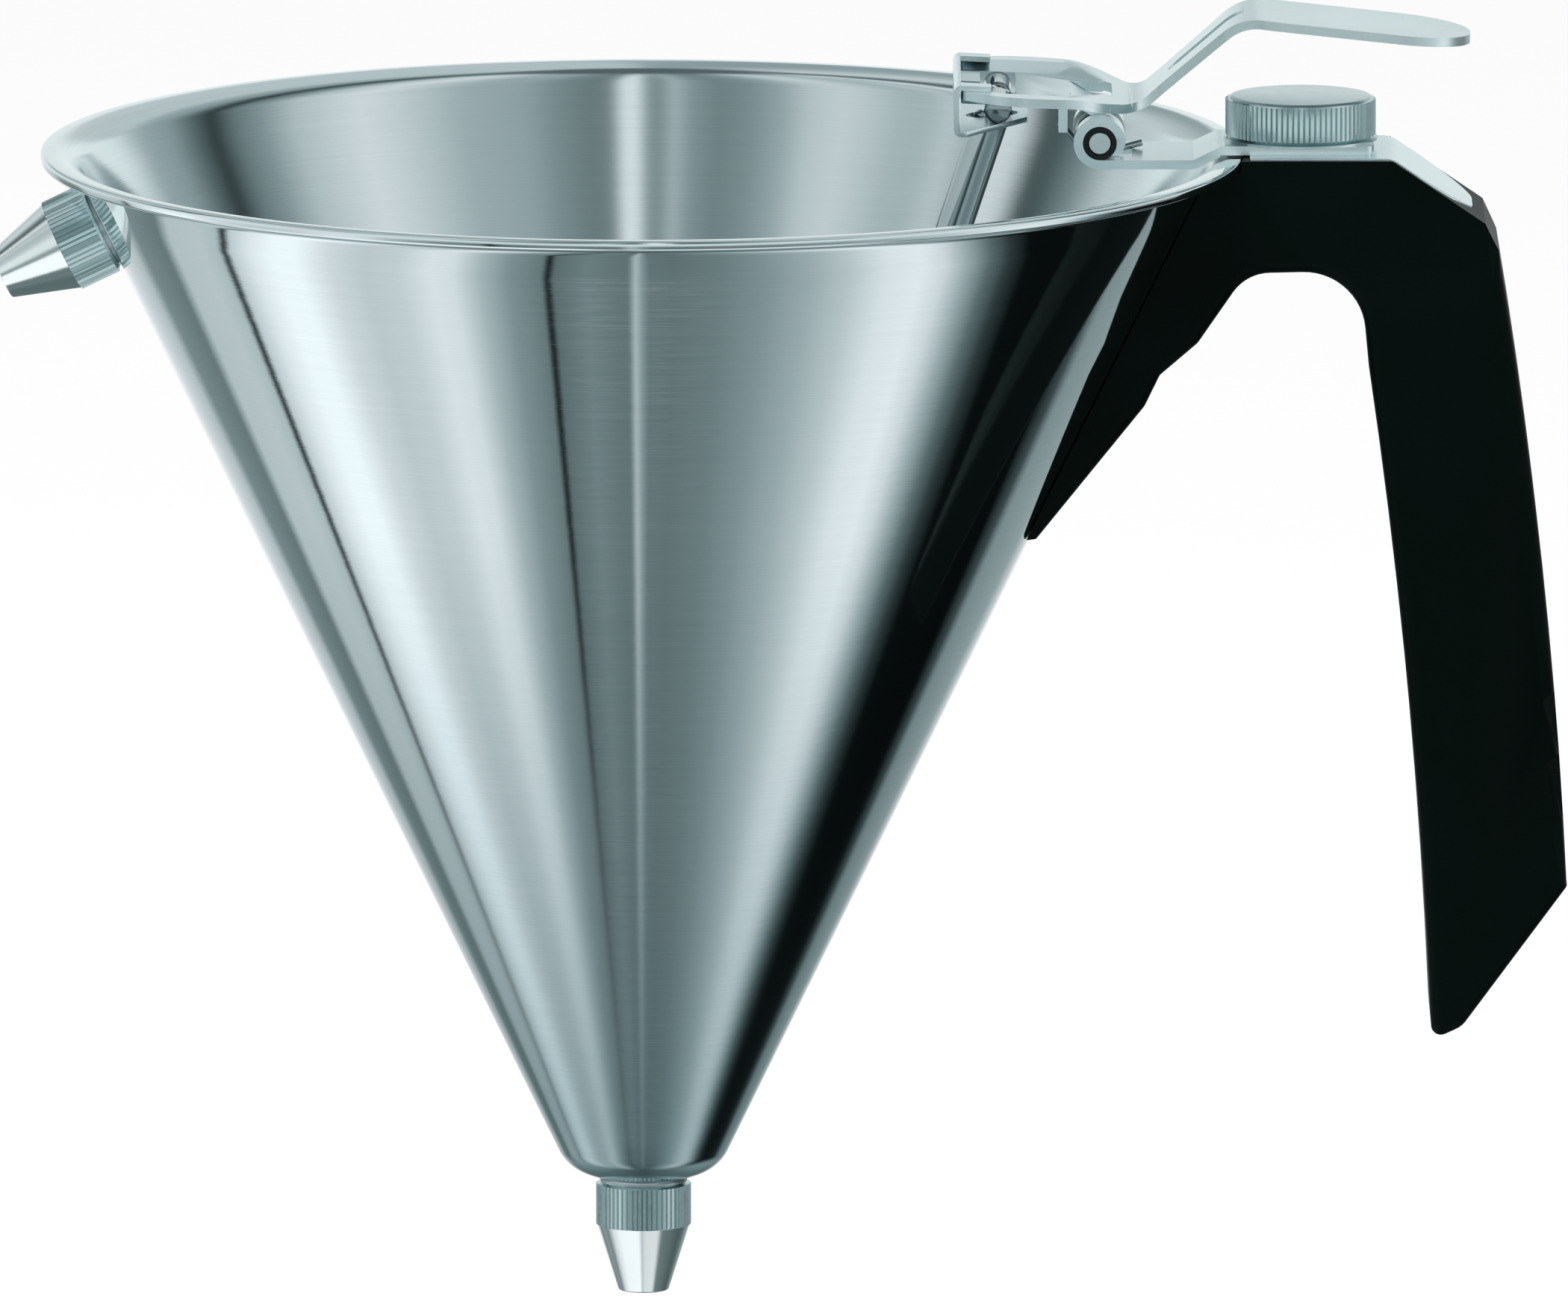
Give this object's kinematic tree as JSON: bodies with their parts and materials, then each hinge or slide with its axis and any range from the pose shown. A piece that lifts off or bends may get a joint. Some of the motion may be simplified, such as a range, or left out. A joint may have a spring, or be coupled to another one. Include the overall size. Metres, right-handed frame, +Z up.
{
  "type": "piston funnel",
  "caption": "Hand-held steel cone funnel with a side handle; a sprung thumb lever lifts a plug rod that opens the outlet nozzle.",
  "frame": {"origin": "centre of the mouth, in the plane of the rim's top, where a stand's ring carries the lip", "axes": "+Z up out of the mouth, +X from the cone's axis to the handle, +Y across the lever along the hinge pin"},
  "size_m": [0.2423, 0.185, 0.1997],
  "materials": {
    "polished_steel": "polished outside, brushed round inside",
    "turned_steel": "turned, bright",
    "knurled_steel": "knurled, satin",
    "stamped_steel": "satin, stamped sheet",
    "spring_steel": "drawn wire",
    "black_plastic": "fine matt grain",
    "dark_plastic": "smooth, dark",
    "white_seal": "soft, smooth"
  },
  "bodies": {
    "funnel": {"funnel_body": "polished_steel", "outlet_spout": "turned_steel", "outlet_seat": "white_seal", "spare_nozzle_stud": "turned_steel", "handle_body": "black_plastic", "handle_cap": "stamped_steel", "handle_tang": "turned_steel", "handle_screw": "turned_steel", "clamp_insert": "turned_steel", "clamp_washer": "turned_steel", "hinge_bracket": "stamped_steel", "hinge_bushes": "dark_plastic", "hinge_pin": "turned_steel", "lever_spring": "spring_steel"},
    "lever": {"lever": "stamped_steel", "rod_clip": "stamped_steel"},
    "rod": {"piston_rod": "turned_steel", "rod_cross_bar": "turned_steel", "closing_plug": "turned_steel"},
    "knob": {"clamp_knob": "knurled_steel", "clamp_stud": "turned_steel"},
    "seal": {"nozzle_seal": "white_seal"},
    "nozzle": {"outlet_nozzle": "knurled_steel"},
    "spare": {"spare_nozzle": "knurled_steel"}
  },
  "joints": [
    {"name": "lever_hinge", "type": "hinge", "parent": "funnel", "child": "lever", "pos_m": [0.0701, 0, 0.0023], "axis": [0, 1, 0], "range_deg": [0, 13], "stiffness_Nm_per_rad": 0.15, "springref_deg": -20.05, "deforming": ["lever_spring"]},
    {"name": "rod_pivot", "type": "hinge", "parent": "lever", "child": "rod", "pos_m": [0.0545, 0, 0.00791], "axis": [0, 1, 0], "range_deg": [-12.5, 0]},
    {"name": "clamp_turn", "type": "hinge", "parent": "funnel", "child": "knob", "pos_m": [0.101, 0, 0.0021], "axis": [0, 0, 1], "range_deg": [0, 270]},
    {"name": "nozzle_drop", "type": "slide", "parent": "funnel", "child": "seal", "axis": [0, 0, -1], "range_m": [0, 0.0066]},
    {"name": "nozzle_turn", "type": "hinge", "parent": "seal", "child": "nozzle", "pos_m": [0, 0, -0.16087], "axis": [0, 0, -1], "range_deg": [0, 2340]},
    {"name": "spare_nozzle_pull", "type": "slide", "parent": "funnel", "child": "spare", "axis": [-0.9003, 0, -0.4352], "range_m": [0, 0.008]}
  ],
  "couplings": [
    {"joint": "rod_pivot", "follows": "lever_hinge", "ratio": -0.9555},
    {"joint": "nozzle_drop", "follows": "nozzle_turn", "m_per_rad": 0.00015915}
  ]
}
